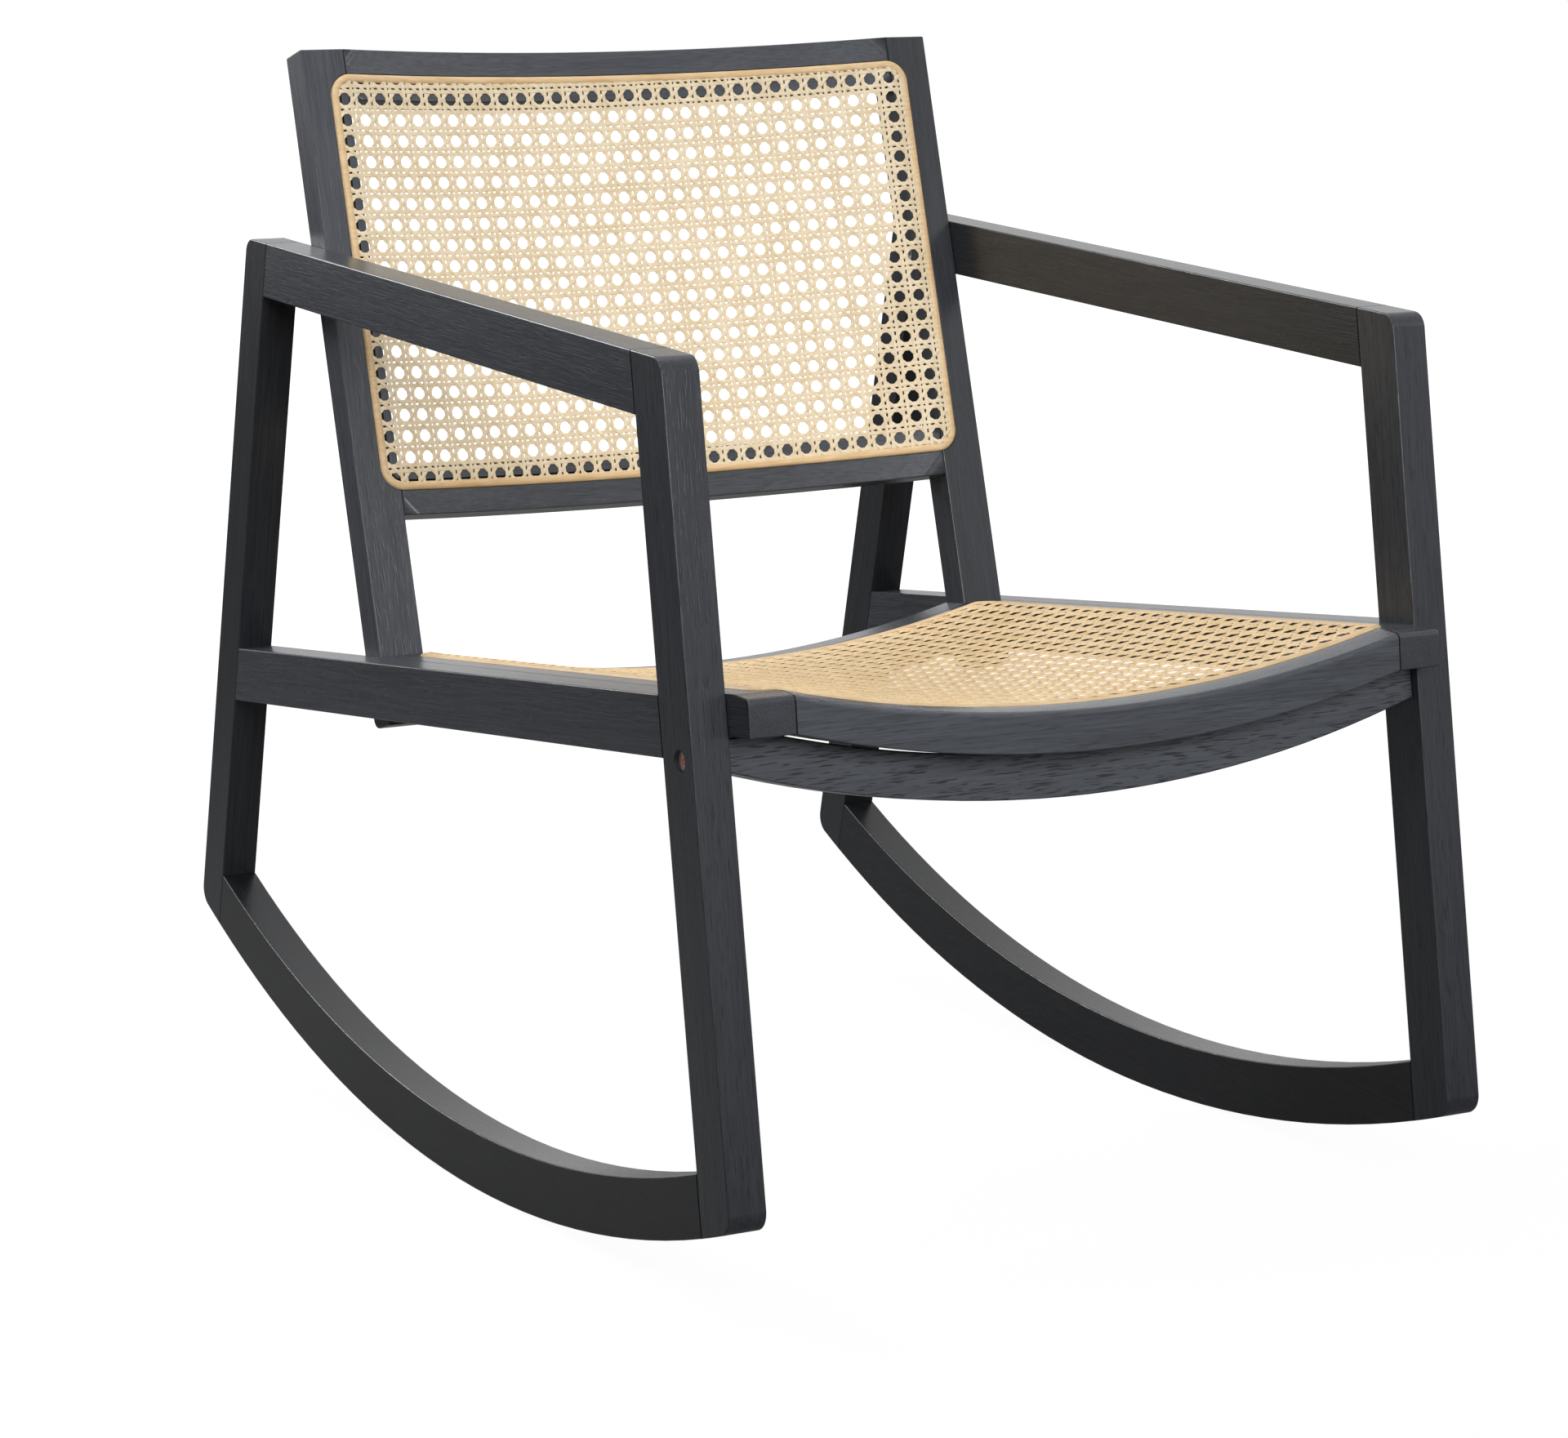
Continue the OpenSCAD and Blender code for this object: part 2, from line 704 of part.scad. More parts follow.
// The cane lies on the frame's face, inside the reed
module back_cane() {
    color(cane) in_back() intersection() {
        linear_extrude(post_l) mirror([0, 1])
            level_band(inner_x, back_sag, back_r, cane_gap, cane_gap + cane_t);
        along(-waste, post_t + back_sag)
            round_rect(back_reed_x - reed_w, back_reed_lo + reed_w, back_reed_hi - reed_w, reed_r - reed_w);
    }
}

// Seat frame

// The reed's groove: level in the stiles, following the hollow in the rails
module seat_ring(z0, z1, grow) {
    translate([0, 0, z0]) linear_extrude(z1 - z0)
        reed_ring(seat_reed_x, seat_reed_front, seat_reed_rear, reed_w, grow);
}
module stile_groove() {
    seat_ring(-groove_d, 5, fit);
}
module seat_rail_groove() {
    intersection() {
        along(-seat_reach, back_at) hollow_band(inner_x, seat_sag, seat_r, -groove_d, 5);
        seat_ring(-seat_t - seat_sag, waste, fit);
    }
}
// Dowels of the seat frame: distance along the seat
seat_peg_s = [
    -seat_reach + front_rail_d * 0.3, -seat_reach + front_rail_d * 0.72,
    back_at - rear_rail_d * 0.72, back_at - rear_rail_d * 0.36
];
module seat_pegs(side, grow, longer) {
    for (s = seat_peg_s) {
        in_seat() translate([0, s, -seat_t * 0.58])
            rod(side > 0 ? stile_in - dowel_l * 0.45 - longer : -stile_in - dowel_l * 0.55 - longer,
                side > 0 ? stile_in + dowel_l * 0.55 + longer : -stile_in + dowel_l * 0.45 + longer,
                dowel_d + 2 * grow);
    }
}
// Section of the front edge, (back, up) from the top of the front face: sloped band and rounding
nose_a = atan2(nose_drop, nose_d);
nose_along = [cos(nose_a), sin(nose_a)];
nose_up = [-sin(nose_a), cos(nose_a)];
nose_c = meet([nose_r, 0], [0, 1], [0, -nose_drop] - nose_r * nose_up, nose_along);
module nose_cut() {
    polygon([
        [-nose_d, 2 * nose_drop], [-nose_d, -2 * nose_drop],
        [2 * nose_d, nose_drop], [2 * nose_d, 2 * nose_drop]
    ]);
    corner_cut(nose_c, nose_r, [-1, 0], nose_up);
}
module seat_stile(side) {
    color(wood) difference() {
        in_seat() translate([side > 0 ? stile_in : -inner_x, 0, 0]) rotate([90, 0, 90])
            linear_extrude(stile_w)
            difference() {
                polygon([
                    [-seat_reach, -seat_t], [-seat_reach, 0],
                    [back_at - side_gap, 0], [back_at - side_gap - seat_t * tan(back_rel), -seat_t]
                ]);
                translate([-seat_reach, 0]) nose_cut();
            }
        in_seat() stile_groove();
        seat_pegs(side, fit, 1);
        seat_bolt_spots(side) bolt_hole(stile_w + 1);
    }
}
module seat_stile_left() { seat_stile(-1); }
module seat_stile_right() { seat_stile(1); }
// The nose of the front rail turns about the axis of its hollow
module seat_front_rail() {
    color(wood) difference() {
        in_seat() difference() {
            along(-seat_reach, -seat_reach + front_rail_d) intersection() {
                translate([-stile_in + end_gap, -under_sag - seat_t - 1])
                    square([2 * (stile_in - end_gap), seat_r]);
                difference() {
                    hollow_disc(under_sag, under_r, -seat_t);
                    hollow_disc(seat_sag, seat_r, 0);
                }
            }
            translate([0, -seat_reach, seat_r - seat_sag]) rotate([-90, 0, 0]) rotate([0, 0, 60])
                rotate_extrude(angle = 60, $fn = long_fn) translate([seat_r, 0]) rotate(90) nose_cut();
        }
        in_seat() seat_rail_groove();
        seat_pegs(-1, fit, 1);
        seat_pegs(1, fit, 1);
    }
}
module seat_rear_rail() {
    color(wood) difference() {
        in_seat() difference() {
            along(back_at - rear_rail_d, back_at + seat_t)
                hollow_band(stile_in - end_gap, seat_sag, seat_r, -seat_t, 0);
            back_slab(-side_gap, 3 * seat_t);
        }
        in_seat() seat_rail_groove();
        seat_pegs(-1, fit, 1);
        seat_pegs(1, fit, 1);
    }
}
module seat_dowels() {
    color(beech) {
        seat_pegs(-1, 0, 0);
        seat_pegs(1, 0, 0);
    }
}
module seat_reed() {
    color(reed) in_seat() intersection() {
        along(-seat_reach, back_at) level_band(inner_x, seat_sag, seat_r, -groove_d + fit, reed_rise);
        seat_ring(-seat_t - seat_sag, waste, 0);
    }
}
module seat_cane() {
    color(cane) in_seat() intersection() {
        along(-seat_reach, back_at) level_band(inner_x, seat_sag, seat_r, cane_gap, cane_gap + cane_t);
        translate([0, 0, -seat_t - seat_sag]) linear_extrude(seat_t + seat_sag + waste)
            round_rect(
                seat_reed_x - reed_w, seat_reed_front + reed_w,
                seat_reed_rear - reed_w, reed_r - reed_w
            );
    }
}

// Hidden bolts and their sleeves

module post_bolts() {
    color(steel) for (side = [-1, 1]) {
        post_bolt_spots(side) translate([0, 0, recess_h - head_h]) bolt(post_bolt_l);
    }
}
module post_sleeves() {
    color(steel) for (side = [-1, 1]) {
        post_bolt_spots(side) sleeve(post_w + side_gap);
    }
}
module seat_bolts() {
    color(steel) for (side = [-1, 1]) {
        seat_bolt_spots(side) translate([0, 0, recess_h - head_h]) bolt(seat_bolt_l);
    }
}
module seat_sleeves() {
    color(steel) for (side = [-1, 1]) {
        seat_bolt_spots(side) sleeve(stile_w + side_gap);
    }
}

front_leg_left();
front_leg_right();
rear_leg_left();
rear_leg_right();
arm_left();
arm_right();
side_rail_left();
side_rail_right();
rocker_left();
rocker_right();
front_stretcher();
stretcher_bolts();
barrel_nuts();
back_post_left();
back_post_right();
back_top_rail();
back_bottom_rail();
back_cross_rail();
back_cane();
back_reed();
seat_stile_left();
seat_stile_right();
seat_front_rail();
seat_rear_rail();
seat_cane();
seat_reed();
post_bolts();
post_sleeves();
seat_bolts();
seat_sleeves();
frame_dowels_left();
frame_dowels_right();
back_dowels();
seat_dowels();
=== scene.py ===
"""Finishes, woven cane and studio for the rocking chair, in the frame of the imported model."""

import math

import bmesh
import bpy
from bpy.props import FloatProperty, FloatVectorProperty, IntProperty, PointerProperty
from mathutils import Matrix, Vector
from mathutils.bvhtree import BVHTree


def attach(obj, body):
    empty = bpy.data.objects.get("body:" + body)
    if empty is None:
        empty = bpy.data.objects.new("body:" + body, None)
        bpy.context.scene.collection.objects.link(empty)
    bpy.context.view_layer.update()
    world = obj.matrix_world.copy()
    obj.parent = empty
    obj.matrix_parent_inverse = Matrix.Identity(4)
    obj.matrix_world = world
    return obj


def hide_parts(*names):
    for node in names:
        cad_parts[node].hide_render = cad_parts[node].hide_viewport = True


bl_info = {
    "name": "Rocking chair finishes",
    "version": (1, 0, 0),
    "blender": (4, 5, 0),
    "location": "3D View > Sidebar > Chair",
    "description": "Eased wooden members, woven cane panels, reeds and a plain studio for a rocking chair",
    "category": "Object",
}

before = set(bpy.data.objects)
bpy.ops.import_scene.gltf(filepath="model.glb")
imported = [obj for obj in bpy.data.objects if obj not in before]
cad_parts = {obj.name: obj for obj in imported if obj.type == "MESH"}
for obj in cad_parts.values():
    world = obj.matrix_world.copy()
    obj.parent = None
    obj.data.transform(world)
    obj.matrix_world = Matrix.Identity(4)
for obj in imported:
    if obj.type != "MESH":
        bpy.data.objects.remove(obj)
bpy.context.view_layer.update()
MM = 0.001


def linear(code):
    """An sRGB hex colour as linear red, green and blue."""
    parts = [int(code[i : i + 2], 16) / 255 for i in (1, 3, 5)]
    return tuple(c / 12.92 if c <= 0.04045 else ((c + 0.055) / 1.055) ** 2.4 for c in parts)


# Sizes and colours that a user would change


def length(name, text, default):
    """A length, given in mm."""
    return FloatProperty(
        name=name,
        description=text,
        default=default * MM,
        unit="LENGTH",
        subtype="DISTANCE",
        precision=5,
    )


def paint(name, text, code):
    """A colour, given as an sRGB hex code."""
    return FloatVectorProperty(
        name=name,
        description=text,
        default=linear(code),
        subtype="COLOR",
        size=3,
        min=0,
        max=1,
    )


class ChairSizes(bpy.types.PropertyGroup):
    """Sizes of the roundings, the cane and the reed"""

    edge: length("Eased edge", "Rounding of the members' free edges", 1.1)
    seam: length("Seam edge", "Rounding of the edges at glued seams and grooves", 0.55)
    strand: length("Strand width", "Width of the upright and level cane strands", 2.6)
    slant: length("Slanting strand width", "Width of the slanting cane strands", 2.3)
    pair: length("Pair spacing", "Between the middles of the two strands of a pair", 3.9)
    thick: length("Strand thickness", "Thickness of a cane strand", 0.4)
    wave: length("Weave wave", "How far a strand rises and sinks as it crosses the others", 0.2)
    reed: length("Reed width", "Width of the border reed", 6.3)
    reed_rise: length("Reed height", "Height of the border reed over the wood", 1.6)
    reed_side: length("Reed shoulder", "Width of the reed's rounded shoulders", 2.4)
    shoulder_steps: IntProperty(
        name="Shoulder steps",
        description="Facets across one shoulder of the reed",
        default=3,
        min=1,
        max=6,
    )


class ChairColours(bpy.types.PropertyGroup):
    """Colours of the finishes and the floor"""

    stain: paint("Stain", "Black stained wood between its pores", "#404348")
    stain_deep: paint("Deep stain", "Darker bands of the stained grain", "#34363b")
    pore: paint("Pores", "Open pores filled with stain", "#1a1b1e")
    cane: paint("Seat cane", "Pale skin of the seat's cane strands", "#e2c9a0")
    cane_deep: paint("Deep seat cane", "Darker lengths of the seat's cane", "#cfae7e")
    # The back's cane is the seat's cane drawn paler: painted light, for the light that comes through the
    # back's open weave.
    back_cane: paint("Back cane", "Skin of the back's cane, a paler batch", "#decfb3")
    back_cane_deep_with_painted_light: paint("Deep back cane", "Darker lengths of the back's cane", "#cdb893")
    reed: paint("Reed", "Border reed", "#d6bb93")
    reed_deep: paint("Deep reed", "Darker fibres of the reed", "#c2a073")
    copper: paint("Bolt", "Coppery plating of the visible bolts", "#e3bfb2")
    zinc: paint("Zinc", "Plating of the hidden bolts and sleeves", "#b9bcc0")
    beech: paint("Beech", "Raw dowels", "#c9a678")
    beech_deep: paint("Deep beech", "Darker fibres of the dowels", "#a9855a")
    floor: paint("Floor", "Plain pale floor in the chair's shadow", "#8e8e8e")
    white: paint("White", "Floor and room beyond the shadow", "#ffffff")


# Shape of the chair's frames, in mm and degrees, as in the part's source

SEAT_TILT, BACK_LEAN = math.radians(5.1), math.radians(14.9)
SEAT_AT = Vector((0, -68.4, 363))
BACK_AT = Vector((0, -68.4 + 209.169, 344.332))


class CanePanel:
    """One woven panel, in mm. at, along and out are its origin and directions; half and sag give the hollow;
    outline and corner give the reed's outer edge; hole, pitch and holes give the first hole, the spacing and
    the number of holes. climb is how much the rows rise to the right, where the sheet is a little askew."""

    def __init__(self, name, at, along, out, half, sag, outline, corner, hole, pitch, holes, climb=0.0):
        self.name, self.at, self.along, self.out = name, at, along, out
        self.half, self.sag = half, sag
        self.radius = (half * half + sag * sag) / (2 * sag)
        self.outline, self.corner = outline, corner
        self.hole, self.pitch, self.holes, self.climb = hole, pitch, holes, climb

    def place(self, across, along, height):
        """Where a spot on the hollow's face lies on the chair, in metres."""
        dip = 0.0
        if abs(across) < self.half:
            dip = math.sqrt(self.radius**2 - across**2) - (self.radius - self.sag)
        spot = self.at + self.along * along + self.out * (height - dip)
        return (spot + Vector((across, 0, 0))) * MM


BACK = CanePanel(
    "back",
    at=BACK_AT,
    along=Vector((0, math.sin(BACK_LEAN), math.cos(BACK_LEAN))),
    out=Vector((0, -math.cos(BACK_LEAN), math.sin(BACK_LEAN))),
    half=228.25,
    sag=27,
    outline=(-242.25, 119.5, 242.25, 426.84),
    corner=17,
    hole=(-232.2, 130.2),
    pitch=(15.28, 15.583),
    holes=(31, 19),
    climb=0.012,
)
SEAT = CanePanel(
    "seat",
    at=SEAT_AT,
    along=Vector((0, math.cos(SEAT_TILT), -math.sin(SEAT_TILT))),
    out=Vector((0, math.sin(SEAT_TILT), math.cos(SEAT_TILT))),
    half=229.25,
    sag=28,
    outline=(-242.75, -325, 242.75, 196.5),
    corner=17,
    hole=(-228.0, -312.0),
    pitch=(15.2, 15.6),
    holes=(31, 33),
)

# Which way the grain runs in each member: degrees from upright towards the back, or across the chair
GRAIN = {
    "front_leg": 8.0,
    "rear_leg": -14.7,
    "back_post": 14.9,
    "arm": 86.6,
    "side_rail": 95.1,
    "seat_stile": 95.1,
    "rocker": 86.7,
}
ACROSS = (
    "front_stretcher",
    "back_top_rail",
    "back_bottom_rail",
    "back_cross_rail",
    "seat_front_rail",
    "seat_rear_rail",
)

# How light each member's stain is drawn against the rest, and how much its pores show. The lightness is
# partly the board's own tone and partly painted light: painted shade darkens the rockers, the legs, the
# right arm and the right post, where less light falls, and a painted sheen lightens the stretcher, the cross
# rails and the left post.
STAIN_WITH_PAINTED_SHADE = {
    "rocker": (0.3, 0.3),
    "front_leg": (0.8, 0.5),
    "rear_leg": (0.5, 0.3),
    "side_rail": (1.0, 0.3),
    "arm_right": (0.45, 0.25),
    "front_stretcher": (1.6, 0.8),
    "seat_front_rail": (1.45, 0.3),
    "back_top_rail": (1.35, 0.2),
    "back_bottom_rail": (1.15, 0.2),
    "back_post_left": (1.3, 0.3),
    "back_post_right": (0.65, 0.3),
}
STAIN_WITH_NO_PAINTED_SHADE = (1.0, 0.3)

# Each board's pattern starts at a place of its own, this many metres on from the last board's
NEXT_BOARD = (0.37, 0.13, 0.29)

# An edge sharper than this is eased, and a fold flatter than this isn't an edge
SHARP_EDGE = math.radians(28)
FLAT_ENOUGH = math.radians(0.1)

# Corners nearer than this are one, and an edge this near to another member is at a seam
WELD = 0.02 * MM
AT_SEAM = 0.2 * MM

# The wall of a drilled hole: its largest radius, and its turn at each facet, in radians and inwards
LARGEST_BORE = 9.5 * MM
BORE_TURNS = (-0.7, -0.02)

# A facet of a rounding that the solid has already is narrower than this many eased edges, and a facet of a
# seam is narrower than, and nearer its neighbour than, these shares of the seam's rounding
ROUNDED_ALREADY = 2.5
SEAM_WIDTH = 1.2
SEAM_REACH = 0.75

# Fibres along the cane and the reed, and the plain mottle of the slanting strands, in waves per metre
FIBRES = (500, 500, 25)
MOTTLE = (300, 300, 300)

# The cane's four families of strands
KINDS = ("uprights", "crossings", "rising", "falling")

# In mm: how far the strands reach in under the reed, how far the lowest one clears the wood, and how far
# the reed reaches down into its groove
TUCK = 1.0
CLEARANCE = 0.1
REED_FOOT = 1.5

# Eased corner of a strand, as a share of its thickness
STRAND_EASE = 0.6

# Steps round a corner of the reed, and across the hollow
CORNER_STEPS = 10
HOLLOW_STEPS = 40

# The photograph's camera: place in mm, turn, tip and roll in degrees, and its picture in pixels
CAMERA_AT = (-1553.938, -2828.643, 848.514)
CAMERA_TURNS = (-29.381, -10.384, -0.558)
PICTURE_WIDTH = 1920
FOCAL_PIXELS = 5541.149
CENTRE_PIXELS = (-70.0, 62.4)
SENSOR = 36

# Light of the floor and the room: the floor's strength, its share of plain white near the chair, the
# distances in metres between which that share grows to all of it, its share in reflections, and what the
# room lights by itself
FLOOR_GLOW = 1.18
FLOOR_WHITE = 0.82
FLOOR_FADE = (1.0, 3.0)
FLOOR_MIRRORED = 0.06
ROOM_LIGHT = 0.1

# Lamps: name, place, what it is aimed at, width in metres, watts, and the beam's spread in degrees
LAMPS = (
    ("key", (-0.4, -2.7, 1.3), (0, 0, 0.55), 1.2, 5.6, 50),
    ("left", (-1.7, -0.7, 2.0), (-0.3, 0.0, 0.8), 1.0, 1.6, 40),
    ("fill", (2.4, -1.8, 1.6), (0, 0, 0.5), 1.4, 2.6, 120),
    ("top", (0.0, 0.3, 2.9), (0, 0, 0.5), 1.4, 13, 120),
    ("rear", (-1.3, 2.3, 1.9), (0, 0.1, 0.6), 1.4, 14, 90),
)


# Materials


def add(tree, kind, sockets=None, links=None, **settings):
    """Adds a shader node, sets its sockets and settings, and links its inputs to (node, output)."""
    made = tree.nodes.new(kind)
    for key, value in settings.items():
        setattr(made, key, value)
    for key, value in (sockets or {}).items():
        made.inputs[key].default_value = value
    for key, (source, output) in (links or {}).items():
        tree.links.new(source.outputs[output], made.inputs[key])
    return made


def new_material(name):
    """An empty material and its tree, with the output waiting for a surface."""
    made = bpy.data.materials.new(name)
    made.use_nodes = True
    made.node_tree.nodes.clear()
    return made, made.node_tree


def rgba(colour):
    """A colour as a shader socket takes it."""
    return (*colour, 1.0)


def stained_wood(name, turn, shift, tone_and_painted_shade, pores):
    """Ash stained black under a satin lacquer. Bands of darker grain and short open pores run along the
    member, and the lacquer mirrors the room on faces seen edge on. tone_and_painted_shade is how light the
    stain is drawn, partly the board's own tone and partly painted shade and sheen, and pores is how much
    they show."""
    c = bpy.context.scene.chair_colours
    stain, stain_deep = ([tone_and_painted_shade * v for v in shade] for shade in (c.stain, c.stain_deep))
    mat, tree = new_material(name)
    coord = add(tree, "ShaderNodeTexCoord")
    laid = {"Rotation": turn, "Location": shift}
    turned = add(tree, "ShaderNodeMapping", laid, {"Vector": (coord, "Object")})
    # growth bands 9 mm wide and 160 mm long
    bands = add(tree, "ShaderNodeMapping", {"Scale": (110, 110, 6)}, {"Vector": (turned, 0)})
    wavy = {"Scale": 1, "Detail": 2, "Distortion": 0.6}
    band = add(tree, "ShaderNodeTexNoise", wavy, {"Vector": (bands, 0)})
    # fibres 1.4 mm wide, drawn coarser than the real ones so that they show
    fibres = add(tree, "ShaderNodeMapping", {"Scale": (700, 700, 18)}, {"Vector": (turned, 0)})
    fibre = add(tree, "ShaderNodeTexNoise", {"Scale": 1, "Detail": 3}, {"Vector": (fibres, 0)})
    # pores about 0.8 mm wide and 12 mm long, the peaks of a pattern of 1.1 by 17 mm
    pits = add(tree, "ShaderNodeMapping", {"Scale": (900, 900, 60)}, {"Vector": (turned, 0)})
    pit = add(tree, "ShaderNodeTexNoise", {"Scale": 1, "Detail": 1}, {"Vector": (pits, 0)})
    pore = add(tree, "ShaderNodeMapRange", {"From Min": 0.57, "From Max": 0.66}, {"Value": (pit, 0)})
    mixed = add(tree, "ShaderNodeMath", {1: 0.55}, {0: (band, 0), 2: (fibre, 0)}, operation="MULTIPLY_ADD")
    tone = add(tree, "ShaderNodeMapRange", {"From Min": 0.55, "From Max": 1.0}, {"Value": (mixed, 0)})
    both = {6: rgba(stain_deep), 7: rgba(stain)}
    ground = add(tree, "ShaderNodeMix", both, {0: (tone, 0)}, data_type="RGBA")
    faint = add(tree, "ShaderNodeMath", {1: pores}, {0: (pore, 0)}, operation="MULTIPLY")
    colour = add(tree, "ShaderNodeMix", {7: rgba(c.pore)}, {0: (faint, 0), 6: (ground, 2)}, data_type="RGBA")
    gloss = add(tree, "ShaderNodeMapRange", {"To Min": 0.2, "To Max": 0.3}, {"Value": (fibre, 0)})
    relief = add(tree, "ShaderNodeMath", {1: -0.8}, {0: (pore, 0), 2: (fibre, 0)}, operation="MULTIPLY_ADD")
    bump = add(tree, "ShaderNodeBump", {"Strength": 0.3, "Distance": 0.0002}, {"Height": (relief, 0)})
    skin = add(
        tree,
        "ShaderNodeBsdfPrincipled",
        {"IOR": 1.5, "Specular IOR Level": 0.28},
        {"Base Color": (colour, 2), "Roughness": (gloss, 0), "Normal": (bump, 0)},
    )
    add(tree, "ShaderNodeOutputMaterial", links={"Surface": (skin, 0)})
    return mat


def fibrous(name, pale, deep, turn, rough, size=FIBRES):
    """Cane, reed or raw beech: a smooth pale skin with darker lengths and fine fibres along it, and a soft
    shine."""
    mat, tree = new_material(name)
    coord = add(tree, "ShaderNodeTexCoord")
    turned = add(tree, "ShaderNodeMapping", {"Rotation": turn}, {"Vector": (coord, "Object")})
    # fibres 2 mm wide and 40 mm long, or a mottle of 3 mm
    fibres = add(tree, "ShaderNodeMapping", {"Scale": size}, {"Vector": (turned, 0)})
    fibre = add(tree, "ShaderNodeTexNoise", {"Scale": 1, "Detail": 3}, {"Vector": (fibres, 0)})
    # lengths of cane from different stems, 25 mm across
    cloud = add(tree, "ShaderNodeTexNoise", {"Scale": 40, "Detail": 2}, {"Vector": (coord, "Object")})
    mixed = add(tree, "ShaderNodeMath", {1: 0.6}, {0: (cloud, 0), 2: (fibre, 0)}, operation="MULTIPLY_ADD")
    tone = add(tree, "ShaderNodeMapRange", {"From Min": 0.62, "From Max": 1.12}, {"Value": (mixed, 0)})
    colour = add(tree, "ShaderNodeMix", {6: rgba(pale), 7: rgba(deep)}, {0: (tone, 0)}, data_type="RGBA")
    bump = add(tree, "ShaderNodeBump", {"Strength": 0.25, "Distance": 0.0001}, {"Height": (fibre, 0)})
    skin = add(
        tree,
        "ShaderNodeBsdfPrincipled",
        {"IOR": 1.5, "Roughness": rough, "Specular IOR Level": 0.35},
        {"Base Color": (colour, 2), "Normal": (bump, 0)},
    )
    add(tree, "ShaderNodeOutputMaterial", links={"Surface": (skin, 0)})
    return mat


def plated(name, colour, rough):
    """Plated steel, tumbled: a satin metal with faint cloudy wear."""
    mat, tree = new_material(name)
    coord = add(tree, "ShaderNodeTexCoord")
    # marks about 1 mm across
    marks = add(tree, "ShaderNodeTexNoise", {"Scale": 900, "Detail": 2}, {"Vector": (coord, "Object")})
    wear = {"To Min": rough - 0.08, "To Max": rough + 0.12}
    gloss = add(tree, "ShaderNodeMapRange", wear, {"Value": (marks, 0)})
    bump = add(tree, "ShaderNodeBump", {"Strength": 0.15, "Distance": 0.00005}, {"Height": (marks, 0)})
    skin = add(
        tree,
        "ShaderNodeBsdfPrincipled",
        {"Base Color": rgba(colour), "Metallic": 1.0},
        {"Roughness": (gloss, 0), "Normal": (bump, 0)},
    )
    add(tree, "ShaderNodeOutputMaterial", links={"Surface": (skin, 0)})
    return mat


def seam_stain_and_shade():
    """Stain gathered in a seam, with painted shade of the narrow crack: darker than the faces and dull."""
    mat, tree = new_material("stain_and_shade_in_seams")
    coord = add(tree, "ShaderNodeTexCoord")
    # a few mm of seam filled more, a few less
    fill = add(tree, "ShaderNodeTexNoise", {"Scale": 300, "Detail": 1}, {"Vector": (coord, "Object")})
    pore = bpy.context.scene.chair_colours.pore
    dark = [0.3 * v for v in pore]
    colour = add(tree, "ShaderNodeMix", {6: rgba(dark), 7: rgba(pore)}, {0: (fill, 0)}, data_type="RGBA")
    skin = add(
        tree,
        "ShaderNodeBsdfPrincipled",
        {"Roughness": 0.7, "Specular IOR Level": 0.1},
        {"Base Color": (colour, 2)},
    )
    add(tree, "ShaderNodeOutputMaterial", links={"Surface": (skin, 0)})
    return mat


def dress(obj, mat):
    """Gives a piece one material all over."""
    obj.data.materials.clear()
    obj.data.materials.append(mat)


# Making and placing pieces


def keep(name, bm, mat, slot, *nodes):
    """Turns a bmesh into a piece that rides with the chair and stands for its CAD nodes."""
    mesh = bpy.data.meshes.new(name)
    bm.to_mesh(mesh)
    bm.free()
    obj = bpy.data.objects.new(name, mesh)
    bpy.context.scene.collection.objects.link(obj)
    dress(obj, mat)
    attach(obj, "root")
    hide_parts(*nodes)
    return obj


def tree_of(node):
    """A search tree over a CAD node's faces."""
    bm = bmesh.new()
    bm.from_mesh(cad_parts[node].data)
    found = BVHTree.FromBMesh(bm)
    bm.free()
    return found


def bored(edge):
    """True where an edge borders the wall of a drilled hole: a wall that turns inwards on a small radius."""
    for face in edge.link_faces:
        for side in face.edges:
            if len(side.link_faces) != 2:
                continue
            turn = side.calc_face_angle_signed(0)
            if BORE_TURNS[0] < turn < BORE_TURNS[1]:
                a, b = side.link_faces
                if (a.calc_center_median() - b.calc_center_median()).length / -turn < LARGEST_BORE:
                    return True
    return False


def eased_member(node, mat, neighbours):
    """A member's own solid with its edges eased: fully where they are free, a hair at seams and grooves,
    and not at all round drilled holes."""
    sizes = bpy.context.scene.chair_sizes
    bm = bmesh.new()
    bm.from_mesh(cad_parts[node].data)
    bmesh.ops.remove_doubles(bm, verts=bm.verts[:], dist=WELD)
    bmesh.ops.dissolve_limit(bm, angle_limit=FLAT_ENOUGH, verts=bm.verts[:], edges=bm.edges[:])
    share = bm.edges.layers.float.new("bevel_weight_edge")
    near = [t for n, t in neighbours.items() if n != node]
    for edge in bm.edges:
        if len(edge.link_faces) != 2 or edge.calc_face_angle_signed(0) < SHARP_EDGE or bored(edge):
            continue
        # left as it is: the narrow facets of a rounding that the solid has already
        if min(f.calc_area() for f in edge.link_faces) < ROUNDED_ALREADY * sizes.edge * edge.calc_length():
            continue
        middle = (edge.verts[0].co + edge.verts[1].co) / 2
        at_seam = any(t.find_nearest(middle, AT_SEAM)[0] is not None for t in near)
        edge[share] = sizes.seam / sizes.edge if at_seam else 1.0
    for face in bm.faces:
        face.smooth = True
    obj = keep(node + "_eased", bm, mat, "stained_wood", node)
    bevel = obj.modifiers.new("Eased edges", "BEVEL")
    bevel.limit_method = "WEIGHT"
    bevel.width = sizes.edge
    bevel.segments = 2
    bevel.profile = 0.5
    bevel.use_clamp_overlap = False
    shade = obj.modifiers.new("Flat faces stay flat", "WEIGHTED_NORMAL")
    shade.mode = "FACE_AREA"
    shade.weight = 50
    darken_seams(obj, near)


